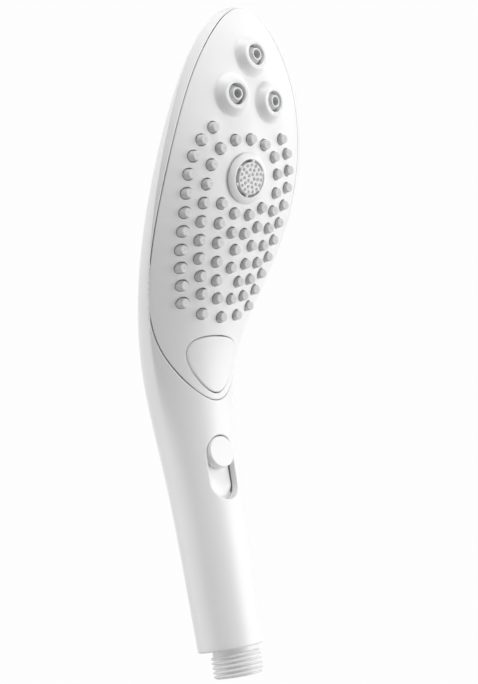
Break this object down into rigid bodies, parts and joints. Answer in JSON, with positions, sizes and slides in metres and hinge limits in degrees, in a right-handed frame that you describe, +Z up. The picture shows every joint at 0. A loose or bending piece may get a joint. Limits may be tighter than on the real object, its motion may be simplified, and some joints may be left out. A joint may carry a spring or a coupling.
{
  "type": "handheld shower head",
  "caption": "Handheld shower head with an inclined round spray face, spray-select push button, flow slide and threaded hose inlet.",
  "frame": {"origin": "on the axis of the hose thread, at the thread's lower end", "axes": "+Z up the handle along the thread axis, -Y out of the front where the water leaves, X from side to side"},
  "size_m": [0.0754, 0.0926, 0.2609],
  "materials": {
    "shell_white": "satin",
    "plate_white": "satin",
    "nub_grey": "matte",
    "jet_grey": "matte",
    "cup_grey": "satin",
    "rotor_grey": "matte",
    "inner_plastic": "matte",
    "steel": "satin",
    "selector_blue": "matte",
    "linkage_grey": "matte",
    "valve_grey": "matte",
    "seal_black": "matte",
    "poppet_orange": "matte"
  },
  "bodies": {
    "housing": {"body_shell": "shell_white", "face_plate": "plate_white", "nozzle_mat": "nub_grey", "nozzle_carrier": "inner_plastic", "jet_ring": "plate_white", "jet_disc": "jet_grey", "whirl_cup_top": "cup_grey", "whirl_cup_left": "cup_grey", "whirl_cup_right": "cup_grey", "whirl_pins": "steel", "spray_body": "inner_plastic", "spray_screws": "steel", "manifold_cover": "inner_plastic", "manifold_seal": "seal_black", "selector_pin": "steel", "button_guide": "inner_plastic", "button_springs": "steel", "crank_pin": "steel", "slot_liner": "shell_white", "valve_sleeve": "valve_grey", "lower_tube": "inner_plastic", "upper_tube": "inner_plastic", "tube_rings": "seal_black", "inlet_nipple": "shell_white", "filter_screen": "steel", "check_seat": "valve_grey", "check_guide": "valve_grey", "check_spring": "steel"},
    "button": {"select_button": "plate_white"},
    "crank": {"bell_crank": "linkage_grey"},
    "rod": {"pawl_rod": "linkage_grey"},
    "selector": {"selector_disc": "selector_blue", "ratchet_wheel": "linkage_grey"},
    "flow_slider": {"flow_knob": "shell_white", "flow_carriage": "inner_plastic", "flow_spool": "valve_grey", "spool_rings": "seal_black"},
    "check_valve": {"check_poppet": "poppet_orange"},
    "whirl_top": {"whirl_rotor_top": "rotor_grey"},
    "whirl_left": {"whirl_rotor_left": "rotor_grey"},
    "whirl_right": {"whirl_rotor_right": "rotor_grey"}
  },
  "joints": [
    {"name": "button_press", "type": "slide", "parent": "housing", "child": "button", "axis": [0, 0.9511, 0.309], "range_m": [0, 0.0025], "stiffness_N_per_m": 1000, "springref_m": -0.001, "deforming": ["button_springs"]},
    {"name": "crank_turn", "type": "hinge", "parent": "housing", "child": "crank", "pos_m": [0.0092, -0.0045, 0.13976], "axis": [1, 0, 0], "range_deg": [0, 14.4]},
    {"name": "rod_push", "type": "slide", "parent": "housing", "child": "rod", "axis": [0, -0.5405, 0.8413], "range_m": [0, 0.00271]},
    {"name": "selector_turn", "type": "hinge", "parent": "housing", "child": "selector", "pos_m": [0, -0.05396, 0.193], "axis": [0, -0.9063, -0.4226], "range_deg": [0, 20]},
    {"name": "flow_slide", "type": "slide", "parent": "housing", "child": "flow_slider", "axis": [0, 0, 1], "range_m": [-0.012, 0]},
    {"name": "check_lift", "type": "slide", "parent": "housing", "child": "check_valve", "axis": [0, 0, 1], "range_m": [0, 0.003], "stiffness_N_per_m": 100, "springref_m": -0.002, "deforming": ["check_spring"]},
    {"name": "whirl_spin_top", "type": "hinge", "parent": "housing", "child": "whirl_top", "pos_m": [0, -0.06844, 0.2397], "axis": [0, -0.9877, -0.1564], "continuous": true},
    {"name": "whirl_spin_left", "type": "hinge", "parent": "housing", "child": "whirl_left", "pos_m": [-0.0101, -0.06419, 0.2232], "axis": [-0.101, -0.9606, -0.2588], "continuous": true},
    {"name": "whirl_spin_right", "type": "hinge", "parent": "housing", "child": "whirl_right", "pos_m": [0.0101, -0.06419, 0.2232], "axis": [0.101, -0.9606, -0.2588], "continuous": true}
  ],
  "couplings": [
    {"joint": "crank_turn", "follows": "button_press", "rad_per_m": 100},
    {"joint": "rod_push", "follows": "button_press", "ratio": 1.08},
    {"joint": "selector_turn", "follows": "button_press", "rad_per_m": 139.6}
  ]
}
